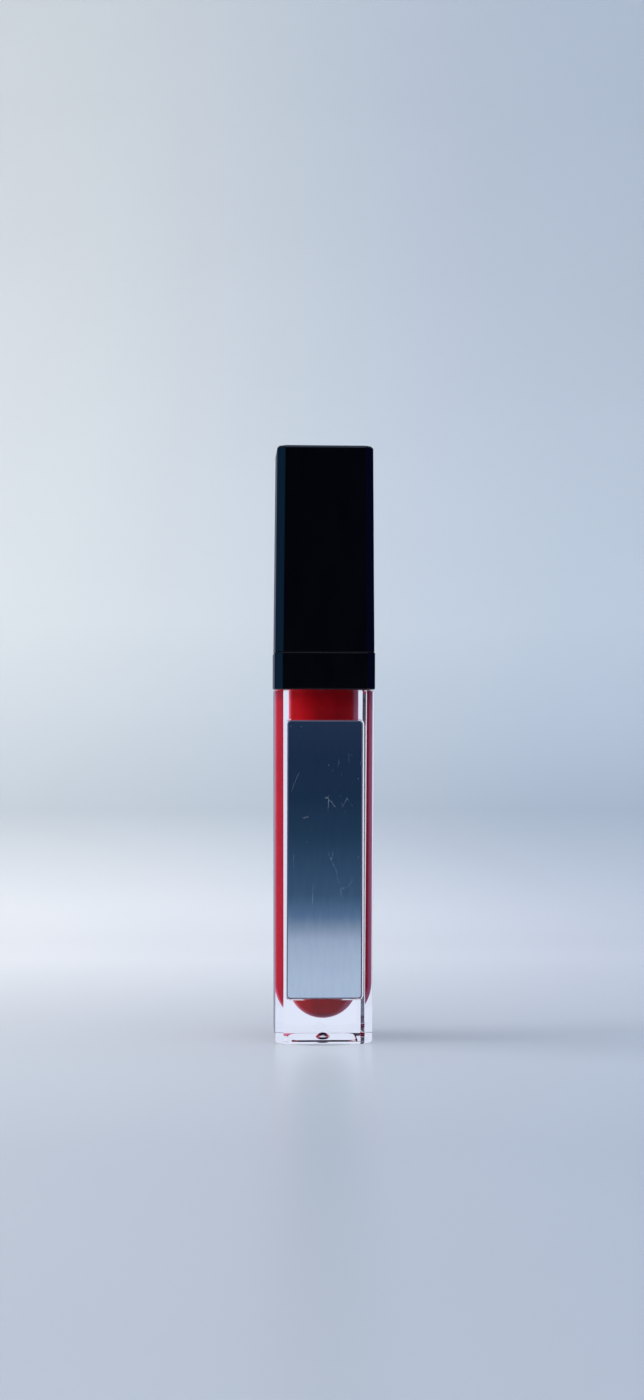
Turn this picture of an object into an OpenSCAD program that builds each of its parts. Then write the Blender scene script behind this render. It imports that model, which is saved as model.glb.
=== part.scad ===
// Square lip gloss tube: a thick clear bottle with a mirror on its front, a wand that
// screws into it, and a black cap that holds a button-operated light for the wand.
// Millimetres. +Z is up, the mirror faces -Y, and the origin is the centre of the base.

/* [Bottle] */
// Width across the flats at the base
bottle_base_w = 19.3; // [19.0:0.1:19.6]
// Width across the flats at the shoulder
bottle_top_w = 19.8; // [19.6:0.1:20.0]
// Height of the square body
bottle_h = 70.4; // [69.0:0.1:72.0]
// Leg of the 45 degree cut along each upright edge
corner_cut = 1.6; // [1.2:0.1:1.9]
// Bevel around the underside
base_bevel = 0.6; // [0.3:0.1:0.9]
// Radius of the round cavity
cavity_r = 7.0; // [6.6:0.1:7.0]
// Solid floor under the lowest point of the cavity
floor_t = 4.4; // [3.0:0.1:6.0]
// Depth of the rounded cavity bottom
dome_depth = 7.0; // [5.0:0.1:7.0]
// Width of the shallow recess in the underside, inside the foot
foot_recess_w = 14.0; // [12.0:0.1:16.0]
// Depth of that recess
foot_recess_h = 0.6; // [0.3:0.1:1.0]
// Width of the moulding dimple in the recess
dimple_w = 3.2; // [2.0:0.1:4.0]
// Depth of the moulding dimple
dimple_depth = 0.95; // [0.6:0.05:1.4]

/* [Neck] */
// Height of the neck above the shoulder
neck_h = 8.0; // [7.5:0.1:8.5]
// Radius of the neck between its threads
neck_r = 7.6; // [7.5:0.05:7.7]
// How far the thread stands out of the neck
thread_depth = 0.5; // [0.4:0.05:0.5]
// Rise of the thread in one turn
thread_pitch = 3.0; // [2.5:0.1:3.2]
// Turns of thread
thread_turns = 1.5; // [1.0:0.25:1.5]

/* [Mirror] */
// Width of the mirror
mirror_w = 14.95; // [13.0:0.05:15.2]
// Height of the mirror
mirror_h = 55.2; // [45.0:0.1:57.0]
// Height of the mirror's lower edge, along the front face
mirror_z = 9.15; // [7.0:0.05:11.0]
// Thickness of the mirror
mirror_t = 0.8; // [0.5:0.05:1.0]
// Radius of the mirror's corners
mirror_corner_r = 0.75; // [0.4:0.05:2.0]
// Thickness of the adhesive pad behind the mirror
adhesive_t = 0.15; // [0.1:0.05:0.2]

/* [Cap] */
// Width of the collar
collar_w = 20.05; // [20.0:0.05:20.3]
// Height of the collar
collar_h = 7.4; // [7.2:0.1:7.6]
// Height of the cap shell above the collar
shell_h = 41.1; // [40.9:0.1:43.0]
// Width of the shell where it meets the collar
shell_base_w = 19.8; // [19.7:0.05:19.9]
// Width of the shell at its top
shell_top_w = 19.15; // [19.0:0.05:19.5]
// Wall thickness of the shell
shell_t = 0.95; // [0.85:0.05:1.0]
// Thickness of the shell's roof
roof_t = 1.2; // [1.0:0.1:1.4]
// Bevel around the shell's top
top_bevel = 0.45; // [0.2:0.05:0.8]

/* [Wand] */
// Radius of the clear stem
stem_r = 1.9; // [1.6:0.05:1.95]
// Radius of the soft tip
tip_r = 2.15; // [1.8:0.05:2.2]
// Height of the tip's end above the base
tip_end_z = 8.6; // [7.5:0.1:12.0]
// Length of the soft tip
tip_len = 15.4; // [12.0:0.2:18.0]
// Radius of the hole in the wiper
wiper_hole_r = 2.45; // [2.4:0.05:2.6]

/* [Light and button] */
// Radius of a button cell
cell_r = 5.8; // [5.6:0.05:5.8]
// Thickness of a button cell
cell_t = 5.4; // [5.0:0.1:5.4]
// Radius of the push button's face
button_r = 3.5; // [2.5:0.1:4.0]
// Travel of the push button
button_travel = 0.3; // [0.2:0.05:0.3]
// Width of the square light module
module_w = 16.4; // [16.2:0.1:16.6]

/* [Hidden] */
$fn = 96;

eps = 0.01;             // overshoot of a cutting shape past the face it opens
touch = 0.02;           // gap between pieces that are seated in one another
fit = 0.05;             // radial clearance of a sliding piece
block_reach = 40;       // length of the slabs that drafted blocks are cut from

// Bottle
draft_angle = atan((bottle_top_w - bottle_base_w) / 2 / bottle_h);
shoulder_bevel = 0.25;
neck_top = bottle_h + neck_h;
thread_r = neck_r + thread_depth;
thread_z = bottle_h + 2.0;
dimple_r = (pow(dimple_w / 2, 2) + pow(dimple_depth, 2)) / (2 * dimple_depth);
recess_gap = 0.1;       // gap around the mirror in its recess
mirror_proud = 0.05;    // how far the mirror stands out of the front face

// Wiper and washer
wiper_t = 0.9;
flange_t = 0.6;
flange_r = neck_r - 0.1;
lip_h = 2.5;            // height of the wiper's cone
wiper_z = bottle_h + 0.3;
washer_t = 1.0;
washer_z = neck_top + flange_t;

// Cap
collar_z = bottle_h + 0.1;
shell_z = collar_z + collar_h;
top_z = shell_z + shell_h;
edge_bevel = 0.15;      // bevel on the edges that meet at a seam
sleeve_bore_r = thread_r + 0.1;
sleeve_r = 8.72;
sleeve_z = collar_z + 0.2;
cap_floor_z = washer_z + washer_t;
cap_floor_t = 1.8;
spigot_w = shell_base_w - 2 * shell_t - 4 * fit;
seat_z = cap_floor_z + cap_floor_t;

// Wand
stem_head_r = 3.2;
stem_head_t = 1.2;
pin_r = 1.0;            // thin end of the stem, inside the tip
pin_len = 6.0;
tip_top_z = tip_end_z + tip_len;
wand_bore_r = wiper_hole_r;
slant_angle = 22;       // lean of the tip's flat from the wand's axis
slant_start = 0.6;      // how far past the axis the flat starts, at the tip's end

// Light module, from the bottom up
board_t = 1.0;
board_r = 6.8;
cup_h = 4.2;
board_z = seat_z + cup_h;
cell_bay_z = board_z + board_t;
spring_h = 3.0;
cell_z = cell_bay_z + spring_h;
cells_top = cell_z + 3 * cell_t;
contact_t = 0.3;
contact_w = 2.4;
holder_top = cells_top + 2.3;
led_r = 1.5;
led_gap = 0.3;          // gap between the lamp and the wand's head
spring_wire_r = 0.3;
spring_r = 3.0;
spring_turns = 3;
strip_x = 7.5;          // inner face of the contact strip along the holder
cover_t = 0.8;
switch_z = holder_top + board_t;
switch_w = 6.0;
switch_h = 3.5;
plunger_r = 1.75;
cover_roof_z = switch_z + switch_h + 0.2;
cover_roof_t = 1.0;
plunger_top = cover_roof_z + cover_roof_t + 0.2;
roof_z = top_z - roof_t;
button_flange_t = 0.85;
button_recess = 0.15;   // depth of the button's face below the cap's top
post_r = 1.6;

clear_plastic = [0.86, 0.90, 0.96, 0.35];
gloss_red = [0.60, 0.03, 0.06];
satin_black = [0.03, 0.04, 0.06];
white_plastic = [0.90, 0.90, 0.88];
nickel = [0.74, 0.74, 0.72];

// ---------------------------------------------------------------- shared shapes

// Width of a drafted side at height z
function width_at(w0, w1, z0, z1, z) = w0 + (w1 - w0) * (z - z0) / (z1 - z0);

// Half of a drafted side seen edge on, from its foot to its top, with bevelled ends
function side_points(w0, w1, z0, z1, b0, b1) = concat(
    b0 > 0 ? [[w0 / 2 - b0, z0]] : [],
    [[width_at(w0, w1, z0, z1, z0 + b0) / 2, z0 + b0]],
    [[width_at(w0, w1, z0, z1, z1 - b1) / 2, z1 - b1]],
    b1 > 0 ? [[w1 / 2 - b1, z1]] : []
);

// The same outline on both sides of the axis, as one closed loop
function slab_points(half) = concat(
    half,
    [for (i = [len(half) - 1 : -1 : 0]) [-half[i][0], half[i][1]]]
);

// A slab with two drafted faces, across x
module slab(w0, w1, z0, z1, b0, b1) {
    rotate([90, 0, 0])
        translate([0, 0, -block_reach / 2])
            linear_extrude(block_reach)
                polygon(slab_points(side_points(w0, w1, z0, z1, b0, b1)));
}

// A square block with drafted sides, cut corners and bevelled ends
module drafted_block(w0, w1, z0, z1, cut, b0 = 0, b1 = 0) {
    diagonal0 = (w0 - cut) * sqrt(2);
    diagonal1 = (w1 - cut) * sqrt(2);
    intersection() {
        slab(w0, w1, z0, z1, b0, b1);
        rotate([0, 0, 90]) slab(w0, w1, z0, z1, b0, b1);
        rotate([0, 0, 45]) slab(diagonal0, diagonal1, z0, z1, b0, b1);
        rotate([0, 0, 135]) slab(diagonal0, diagonal1, z0, z1, b0, b1);
    }
}

// Corner cut of a wall's inner face, for an outer cut and a wall thickness
function inner_cut(cut, t) = cut - (2 - sqrt(2)) * t;

// A ring or disc between two heights
module ring(r_out, r_in, z0, z1) {
    difference() {
        translate([0, 0, z0]) cylinder(r = r_out, h = z1 - z0);
        if (r_in > 0) translate([0, 0, z0 - eps]) cylinder(r = r_in, h = z1 - z0 + 2 * eps);
    }
}

// A round bar between two heights
module bar(r, z0, z1) {
    translate([0, 0, z0]) cylinder(r = r, h = z1 - z0);
}

// Moves children, drawn on the plane y = 0, onto the leaning front face
module on_front_face() {
    translate([0, -bottle_base_w / 2, 0]) rotate([draft_angle, 0, 0]) children();
}

// A plate with round corners, standing in the xz plane, between two depths
module upright_plate(w, h, z, corner, y0, y1) {
    translate([0, y1, z + h / 2])
        rotate([90, 0, 0])
            linear_extrude(y1 - y0)
                union() {
                    square([w - 2 * corner, h], center = true);
                    square([w, h - 2 * corner], center = true);
                    for (sx = [-1, 1], sz = [-1, 1])
                        translate([sx * (w / 2 - corner), sz * (h / 2 - corner)])
                            circle(corner);
                }
}

// Sweeps closed profiles, each a list of [radius, height] points, around a helix. The
// profiles may differ from ring to ring, which lets a thread run out into its neck.
module helix_sweep(profiles, step_angle, step_rise, z0) {
    sides = len(profiles[0]);
    last = len(profiles) - 1;
    points = [
        for (i = [0 : last], p = profiles[i])
            [p[0] * cos(i * step_angle), p[0] * sin(i * step_angle), z0 + i * step_rise + p[1]]
    ];
    walls = [
        for (i = [0 : last - 1], k = [0 : sides - 1])
            let (a = i * sides + k, b = i * sides + (k + 1) % sides)
                each [[a, b + sides, b], [a, a + sides, b + sides]]
    ];
    foot = [for (k = [0 : sides - 1]) k];
    head = [for (k = [sides - 1 : -1 : 0]) last * sides + k];
    polyhedron(points, concat(walls, [foot], [head]));
}

// ---------------------------------------------------------------- bottle

// Outline of the cavity, widened by a gap that is negative for what fills it
function cavity_points(gap, z_top) = concat(
    [[0, z_top]],
    [for (a = [-90 : 6 : 0])
        [(cavity_r + gap) * cos(a), floor_t + dome_depth + (dome_depth + gap) * sin(a)]],
    [[cavity_r + gap, z_top]]
);

// Cross-section of the thread, at a share of its full height
function thread_profile(share) = let (depth = 0.1 + thread_depth * share) [
    [neck_r - 0.1, -0.75],
    [neck_r - 0.1, 0.75],
    [neck_r - 0.1 + depth, 0.3],
    [neck_r - 0.1 + depth, -0.3]
];

module neck_thread() {
    step_angle = 9;
    steps = thread_turns * 360 / step_angle;
    run_out = 5;        // rings over which the thread rises from the neck
    helix_sweep(
        [for (i = [0 : steps])
            thread_profile(min(1, (i + 0.5) / run_out, (steps - i + 0.5) / run_out))],
        step_angle, thread_pitch * step_angle / 360, thread_z
    );
}

module bottle() {
    color(clear_plastic)
    difference() {
        union() {
            drafted_block(bottle_base_w, bottle_top_w, 0, bottle_h, corner_cut,
                          base_bevel, shoulder_bevel);
            bar(neck_r, bottle_h - 1, neck_top);
            neck_thread();
        }
        rotate_extrude() polygon(cavity_points(0, neck_top + eps));
        drafted_block(foot_recess_w + 0.2, foot_recess_w - 0.2, -foot_recess_h, foot_recess_h, 1.0);
        translate([0, 0, foot_recess_h + dimple_depth - dimple_r]) sphere(dimple_r);
        on_front_face()
            upright_plate(mirror_w + 2 * recess_gap, mirror_h + 2 * recess_gap,
                          mirror_z - recess_gap, mirror_corner_r + recess_gap,
                          -0.5, mirror_t + adhesive_t - mirror_proud);
    }
}

module gloss() {
    color(gloss_red)
    difference() {
        rotate_extrude() polygon(cavity_points(-touch, wiper_z - 0.1));
        bar(wand_bore_r, tip_end_z - 0.4, wiper_z);
    }
}

module wiper() {
    outer = cavity_r - touch;
    inner = outer - wiper_t;
    color([0.93, 0.93, 0.92])
    rotate_extrude()
        polygon([
            [wiper_hole_r, wiper_z],
            [wiper_hole_r + 0.6, wiper_z],
            [outer, wiper_z + lip_h],
            [outer, neck_top],
            [flange_r, neck_top],
            [flange_r, washer_z],
            [inner, washer_z],
            [inner, wiper_z + lip_h + 0.5],
            [wiper_hole_r, wiper_z + 0.6]
        ]);
}

module mirror_plate() {
    color([0.55, 0.62, 0.74])
    on_front_face()
        upright_plate(mirror_w, mirror_h, mirror_z, mirror_corner_r,
                      -mirror_proud, mirror_t - mirror_proud);
}

module mirror_adhesive() {
    inset = 0.6;
    color([0.82, 0.83, 0.84])
    on_front_face()
        upright_plate(mirror_w - 2 * inset, mirror_h - 2 * inset, mirror_z + inset,
                      mirror_corner_r, mirror_t - mirror_proud,
                      mirror_t + adhesive_t - mirror_proud);
}

// ---------------------------------------------------------------- cap and wand

module seal_washer() {
    color([0.88, 0.88, 0.86])
    ring(flange_r, stem_r + 0.5, washer_z, cap_floor_z);
}

module inner_cap() {
    color([0.07, 0.08, 0.10])
    difference() {
        union() {
            bar(sleeve_r, sleeve_z, shell_z + 1);
            drafted_block(spigot_w, spigot_w, shell_z, seat_z,
                          inner_cut(corner_cut, shell_t), 0, 0.3);
        }
        bar(sleeve_bore_r, sleeve_z - eps, cap_floor_z);
        bar(stem_r + touch, cap_floor_z - eps, seat_z + eps);
    }
}

module collar() {
    color(satin_black)
    difference() {
        drafted_block(collar_w, collar_w, collar_z, shell_z, corner_cut,
                      edge_bevel, edge_bevel);
        bar(sleeve_r + touch, collar_z - eps, shell_z + eps);
    }
}

module wand_stem() {
    color([0.90, 0.93, 0.96, 0.5])
    union() {
        bar(stem_head_r, seat_z, seat_z + stem_head_t);
        bar(stem_r, tip_top_z, seat_z + eps);
        bar(pin_r, tip_top_z - pin_len, tip_top_z + eps);
    }
}

// Outline of the soft tip: a bullet end on a straight sleeve
function tip_points() = let (end_h = 4.5) concat(
    [[0, tip_top_z]],
    [for (a = [-90 : 10 : 0]) [tip_r * cos(a), tip_end_z + end_h + end_h * sin(a)]],
    [[tip_r, tip_top_z - 0.4]],
    [[tip_r - 0.3, tip_top_z]]
);

module applicator_tip() {
    color([0.93, 0.86, 0.86])
    difference() {
        rotate_extrude() polygon(tip_points());
        bar(pin_r + touch, tip_top_z - pin_len - touch, tip_top_z + eps);
        translate([0, 0, tip_end_z])
            rotate([slant_angle, 0, 0])
                translate([-5, slant_start - 10, -3])
                    cube([10, 10, 16]);
    }
}

module cap_shell() {
    cut = inner_cut(corner_cut, shell_t);
    color(satin_black)
    difference() {
        drafted_block(shell_base_w, shell_top_w, shell_z, top_z, corner_cut,
                      edge_bevel, top_bevel);
        intersection() {
            drafted_block(shell_base_w - 2 * shell_t, shell_top_w - 2 * shell_t,
                          shell_z, top_z, cut);
            bar(block_reach, shell_z - 1, roof_z);
        }
        bar(button_r + fit, roof_z - 1, top_z + 1);
    }
}

// ---------------------------------------------------------------- light module

module reflector_cup() {
    bore = stem_head_r + 0.1;
    color(white_plastic)
    rotate_extrude()
        polygon([
            [bore, seat_z],
            [board_r, seat_z],
            [board_r, board_z],
            [board_r - 1.2, board_z],
            [bore, seat_z + stem_head_t + 0.2]
        ]);
}

module led() {
    dome_z = seat_z + stem_head_t + led_gap + led_r;
    color([0.95, 0.93, 0.78])
    union() {
        intersection() {
            translate([0, 0, dome_z]) sphere(led_r);
            bar(led_r + 1, dome_z - led_r, dome_z);
        }
        bar(led_r, dome_z, board_z);
        bar(led_r + 0.35, board_z - 0.6, board_z);
    }
}

module led_board() {
    color([0.10, 0.35, 0.18])
    bar(board_r - touch, board_z, cell_bay_z);
}

module battery_holder() {
    toe_slot_h = contact_t + 0.1;
    slot_w = contact_w + 0.2;
    color(white_plastic)
    difference() {
        drafted_block(module_w, module_w, seat_z, holder_top, 1.2);
        bar(board_r + touch, seat_z - eps, cell_bay_z);
        bar(cell_r + 0.1, seat_z, holder_top + eps);
        // channel for the contact strip, with a window at its foot and a notch at its top
        translate([strip_x - 0.1, -slot_w / 2, cell_bay_z])
            cube([2, slot_w, holder_top]);
        for (z = [cell_bay_z, holder_top - toe_slot_h])
            translate([cell_r - 0.5, -slot_w / 2, z])
                cube([strip_x - cell_r + 0.5, slot_w, toe_slot_h + eps]);
    }
}

// A button cell standing on its can, with the smaller pole on top
module button_cell(index) {
    pole_h = 0.35;
    gasket_h = 0.25;
    color(nickel)
    translate([0, 0, cell_z + index * cell_t])
        rotate_extrude()
            polygon([
                [0, 0],
                [cell_r - 0.4, 0],
                [cell_r, 0.4],
                [cell_r, cell_t - pole_h - gasket_h],
                [cell_r - gasket_h, cell_t - pole_h],
                [cell_r - 0.9, cell_t - pole_h],
                [cell_r - 1.1, cell_t],
                [0, cell_t]
            ]);
}

module battery_1() { button_cell(0); }

module battery_2() { button_cell(1); }

module battery_3() { button_cell(2); }

module contact_spring() {
    step_angle = 15;
    steps = spring_turns * 360 / step_angle;
    rise = (spring_h - 2 * spring_wire_r - 2 * touch) / steps;
    wire = [for (k = [0 : 7]) [spring_wire_r * cos(-45 * k), spring_wire_r * sin(-45 * k)]];
    // the coil narrows as it rises, and its end turns stay flat
    color(nickel)
    helix_sweep(
        [for (i = [0 : steps])
            [for (p = wire) [spring_r + 0.6 - 1.2 * i / steps + p[0], p[1]]]],
        step_angle, rise, cell_bay_z + spring_wire_r + touch
    );
}

module top_contact() {
    leaf_x = -2.0;
    color(nickel)
    union() {
        bar(cell_r - 1.2, cells_top, cells_top + contact_t);
        translate([leaf_x, -contact_w / 2, cells_top])
            cube([contact_t, contact_w, holder_top - cells_top]);
        translate([leaf_x, -contact_w / 2, holder_top - contact_t])
            cube([2.5, contact_w, contact_t]);
    }
}

module side_contact() {
    toe_x = cell_r - 0.4;
    color([0.80, 0.66, 0.36])
    translate([0, contact_w / 2, 0])
        rotate([90, 0, 0])
            linear_extrude(contact_w)
                polygon([
                    [toe_x, cell_bay_z],
                    [strip_x + contact_t, cell_bay_z],
                    [strip_x + contact_t, holder_top],
                    [toe_x, holder_top],
                    [toe_x, holder_top - contact_t],
                    [strip_x, holder_top - contact_t],
                    [strip_x, cell_bay_z + contact_t],
                    [toe_x, cell_bay_z + contact_t]
                ]);
}

module switch_board() {
    board_w = module_w - 2 * cover_t - 2 * fit;
    color([0.10, 0.35, 0.18])
    drafted_block(board_w, board_w, holder_top, switch_z, 0.8);
}

module switch_body() {
    travel_room = button_travel + fit;
    color([0.12, 0.12, 0.13])
    difference() {
        translate([-switch_w / 2, -switch_w / 2, switch_z])
            cube([switch_w, switch_w, switch_h]);
        bar(plunger_r + fit, switch_z + switch_h - 1 - travel_room, switch_z + switch_h + eps);
    }
}

module switch_plunger() {
    color([0.75, 0.20, 0.12])
    bar(plunger_r, switch_z + switch_h - 1, plunger_top);
}

module module_cover() {
    color(white_plastic)
    difference() {
        drafted_block(module_w, module_w, holder_top, cover_roof_z + cover_roof_t, 1.2, 0, 0.4);
        drafted_block(module_w - 2 * cover_t, module_w - 2 * cover_t,
                      holder_top - eps, cover_roof_z, inner_cut(1.2, cover_t));
        bar(plunger_r + 0.3, cover_roof_z - eps, cover_roof_z + cover_roof_t + eps);
    }
}

module push_button() {
    face_z = top_z - button_recess;
    face_bevel = 0.25;
    color(satin_black)
    rotate_extrude()
        polygon([
            [0, plunger_top],
            [post_r, plunger_top],
            [post_r, roof_z - fit - button_flange_t],
            [button_r + 1.1, roof_z - fit - button_flange_t],
            [button_r + 1.1, roof_z - fit],
            [button_r, roof_z - fit],
            [button_r, face_z - face_bevel],
            [button_r - face_bevel, face_z],
            [0, face_z]
        ]);
}

bottle();
gloss();
wiper();
mirror_plate();
mirror_adhesive();
seal_washer();
inner_cap();
collar();
wand_stem();
applicator_tip();
reflector_cup();
led();
led_board();
battery_holder();
battery_1();
battery_2();
battery_3();
contact_spring();
top_contact();
side_contact();
switch_board();
switch_body();
switch_plunger();
module_cover();
push_button();
cap_shell();
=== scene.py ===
import math
import random

import bmesh
import bpy
from mathutils import Matrix, Vector


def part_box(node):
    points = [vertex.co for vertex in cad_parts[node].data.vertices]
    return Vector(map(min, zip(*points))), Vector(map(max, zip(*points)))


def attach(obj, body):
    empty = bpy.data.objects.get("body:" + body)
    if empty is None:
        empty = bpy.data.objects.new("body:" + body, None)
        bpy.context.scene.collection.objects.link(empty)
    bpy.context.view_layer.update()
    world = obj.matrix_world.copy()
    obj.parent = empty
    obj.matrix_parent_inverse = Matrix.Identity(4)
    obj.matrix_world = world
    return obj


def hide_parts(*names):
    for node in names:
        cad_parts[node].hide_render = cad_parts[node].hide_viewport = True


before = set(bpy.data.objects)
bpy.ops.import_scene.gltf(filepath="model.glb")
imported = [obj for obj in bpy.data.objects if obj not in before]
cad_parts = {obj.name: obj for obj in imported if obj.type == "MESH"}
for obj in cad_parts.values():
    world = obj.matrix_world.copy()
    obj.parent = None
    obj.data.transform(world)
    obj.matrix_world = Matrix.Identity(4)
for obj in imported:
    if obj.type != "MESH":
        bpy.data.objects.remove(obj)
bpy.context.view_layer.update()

MM = 0.001

# -------- places, from the CAD parts' boxes
BOTTLE_LOW, BOTTLE_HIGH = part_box("bottle")
GLOSS_LOW, GLOSS_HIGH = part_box("gloss")
MIRROR_LOW, MIRROR_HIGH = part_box("mirror_plate")
COLLAR_LOW, COLLAR_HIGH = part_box("collar")
SHELL_LOW, SHELL_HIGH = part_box("cap_shell")
BUTTON_LOW, BUTTON_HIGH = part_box("push_button")

# sizes that a node's box doesn't show
BASE_W = 19.3 * MM           # bottle's width at its base
CORNER_CUT = 1.6 * MM        # leg of the cut along each upright edge
SHOULDER_Z = COLLAR_LOW.z - 0.1 * MM
BASE_ROUND = 0.8 * MM        # radius that stands for the base's 0.6 mm bevel
SHOULDER_BEVEL = 0.25 * MM
NECK_R = 7.6 * MM
THREAD_DEPTH = 0.5 * MM
THREAD_PITCH = 3.0 * MM
THREAD_TURNS = 1.5
GLOSS_FILM = 0.02 * MM       # gap between the gloss node and the cavity's wall
CAVITY_R = GLOSS_HIGH.x + GLOSS_FILM
CAVITY_FLOOR = GLOSS_LOW.z - GLOSS_FILM
DOME_DEPTH = CAVITY_R        # the cavity ends in a half ball
FOOT_RECESS_W = 14.0 * MM    # square recess that leaves a rim for the bottle to stand on
FOOT_RECESS_H = 0.6 * MM
DIMPLE_R = 1.6 * MM          # gate dimple in the recess
DIMPLE_DEPTH = 0.95 * MM
SHELL_TOP_W = 19.15 * MM
SHELL_WALL = 0.95 * MM
ROOF_T = 1.2 * MM
BUTTON_R = 3.5 * MM
MODULE_CUT = 1.2 * MM        # corner cut of the cell holder and its cover
WAND_BORE = 2.45 * MM
STEM_R = 1.9 * MM
STEM_HEAD_R = 3.2 * MM

RING_STEPS = 7               # points along each rounded corner of a square ring, less one
RING = 8 * (RING_STEPS + 1)  # points in every ring
SMOOTH_ANGLE = math.radians(32)


# -------- outlines

def round_corners(points, radius, steps=3):
    """An open outline with each inner corner replaced by an arc of at most that radius."""
    rounded = [Vector(points[0])]
    for before, here, after in zip(points, points[1:], points[2:]):
        before, here, after = Vector(before), Vector(here), Vector(after)
        back, ahead = (before - here), (after - here)
        turn = math.pi - back.angle(ahead)
        if turn < 0.05:
            rounded.append(here)
            continue
        reach = min(radius * math.tan(turn / 2), 0.45 * back.length, 0.45 * ahead.length)
        start = here + back.normalized() * reach
        end = here + ahead.normalized() * reach
        for i in range(steps + 1):
            t = i / steps
            # a quadratic through the corner is close to an arc at these small turns
            rounded.append(start * (1 - t) ** 2 + here * 2 * t * (1 - t) + end * t ** 2)
    rounded.append(Vector(points[-1]))
    return rounded


def square_ring(half, cut, fillet):
    """A square with cut corners, each of its eight corners rounded by an arc, as xy points."""
    flats = [half if k % 2 == 0 else (2 * half - cut) / math.sqrt(2) for k in range(8)]
    fillet = max(fillet, 0.005 * MM)
    ring = []
    for k in range(8):
        a, b = math.radians(45 * k), math.radians(45 * (k + 1))
        da, db = flats[k] - fillet, flats[(k + 1) % 8] - fillet
        det = math.sin(b - a)
        centre = Vector(((da * math.sin(b) - db * math.sin(a)) / det,
                         (db * math.cos(a) - da * math.cos(b)) / det))
        for j in range(RING_STEPS + 1):
            t = a + (b - a) * j / RING_STEPS
            ring.append(centre + Vector((math.cos(t), math.sin(t))) * fillet)
    return ring


def ring_angles():
    """Angles of a round ring's points, in step with square_ring's."""
    return [2 * math.pi * (k + 0.5) / RING for k in range(RING)]


def round_ring(radius):
    return [Vector((math.cos(t), math.sin(t))) * radius for t in ring_angles()]


def quarter_turn(steps):
    """Sines and cosines of even steps from 0 to 90 degrees."""
    angles = [math.radians(90 * i / steps) for i in range(steps + 1)]
    return [(math.sin(t), math.cos(t)) for t in angles]


def inner_cut(cut, wall):
    """Corner cut of a wall's inner face."""
    return cut - (2 - math.sqrt(2)) * wall


# -------- mesh building

def add_ring(bm, ring, z):
    return [bm.verts.new((p.x, p.y, z)) for p in ring]


def skin_all(bm, rings, slot=0):
    """Quads between rings of the same length, which run anticlockwise seen from above."""
    for low, high in zip(rings, rings[1:]):
        for i, vert in enumerate(low):
            k = (i + 1) % len(low)
            bm.faces.new((vert, low[k], high[k], high[i])).material_index = slot


def close_fan(bm, ring, z, outward_up=True):
    """Closes a ring with a fan of triangles round a point on the axis."""
    middle = bm.verts.new((0, 0, z))
    for i, vert in enumerate(ring):
        following = ring[(i + 1) % len(ring)]
        bm.faces.new((vert, following, middle) if outward_up else (following, vert, middle))


def round_rings(bm, profile):
    """Round rings over a profile of (radius, height)."""
    return [add_ring(bm, round_ring(radius), z) for radius, z in profile]


def square_rings(bm, half, cut, fillet, profile):
    """Square rings over a profile of (inset, height). half is a length or a function of z."""
    reach = half if callable(half) else lambda z: half
    return [add_ring(bm, square_ring(reach(z) - inset, inner_cut(cut, inset), fillet), z)
            for inset, z in profile]


def rounded_loop(points, radius, steps=3):
    """A closed outline with each corner rounded."""
    middle = (Vector(points[-1]) + Vector(points[0])) / 2
    return round_corners([middle] + points + [middle], radius, steps)[:-1]


def new_object(name, data):
    """An object in the scene for a mesh, a lamp or a camera."""
    made = bpy.data.objects.new(name, data)
    bpy.context.scene.collection.objects.link(made)
    return made


def finish_mesh(name, bm, materials, smooth_angle=SMOOTH_ANGLE):
    """Makes a shaded object of a bmesh: faces point outwards, and flats keep flat normals."""
    bmesh.ops.recalc_face_normals(bm, faces=bm.faces)
    mesh = bpy.data.meshes.new(name)
    bm.to_mesh(mesh)
    bm.free()
    for material in materials:
        mesh.materials.append(material)
    mesh.shade_smooth()
    mesh.set_sharp_from_angle(angle=smooth_angle)
    piece = new_object(name, mesh)
    weighted = piece.modifiers.new("flat_faces", "WEIGHTED_NORMAL")
    weighted.weight = 100
    weighted.keep_sharp = True
    return piece


def second_material(bm, chosen):
    """Gives the second material to the faces whose middles are chosen."""
    for face in bm.faces:
        if chosen(face.calc_center_median()):
            face.material_index = 1


def turned(name, materials, profile, chosen=None):
    """A solid turned from a profile of (radius, height) that starts and ends on the axis."""
    bm = bmesh.new()
    rings = round_rings(bm, profile[1:-1])
    skin_all(bm, rings)
    close_fan(bm, rings[0], profile[0][1], outward_up=False)
    close_fan(bm, rings[-1], profile[-1][1])
    if chosen:
        second_material(bm, chosen)
    return finish_mesh(name, bm, materials)


def tube(name, material, bm, rings):
    """A piece whose last ring meets its first."""
    skin_all(bm, rings + rings[:1])
    return finish_mesh(name, bm, [material])


def turned_tube(name, material, points, radius):
    """A ring turned from a closed outline of (radius, height) with rounded corners."""
    bm = bmesh.new()
    return tube(name, material, bm, round_rings(bm, rounded_loop(points, radius)))


def place(piece, body, slot, *nodes):
    """Rides on a body and takes the place of CAD nodes. The slot is not used."""
    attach(piece, body)
    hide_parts(*nodes)


# -------- material building

def new_tree(name):
    material = bpy.data.materials.new(name)
    material.use_nodes = True
    material.node_tree.nodes.clear()
    return material, material.node_tree


def feed(tree, socket, value):
    """Links a socket to another node's output, or sets its value."""
    if isinstance(value, bpy.types.NodeSocket):
        tree.links.new(value, socket)
    elif socket.type == "RGBA":
        socket.default_value = (*value, 1)
    else:
        socket.default_value = value


def add(tree, kind, *values, **settings):
    """Adds a node. Values go to its inputs in order.

    A setting that names an input sets or links it, and any other is a property.
    """
    made = tree.nodes.new("ShaderNode" + kind)
    sockets = {s.name.lower().replace(" ", "_"): s for s in reversed(made.inputs)}
    for name, value in settings.items():
        if name in sockets:
            feed(tree, sockets[name], value)
        else:
            setattr(made, name, value)
    for socket, value in zip(made.inputs, values):
        feed(tree, socket, value)
    return made


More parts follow.
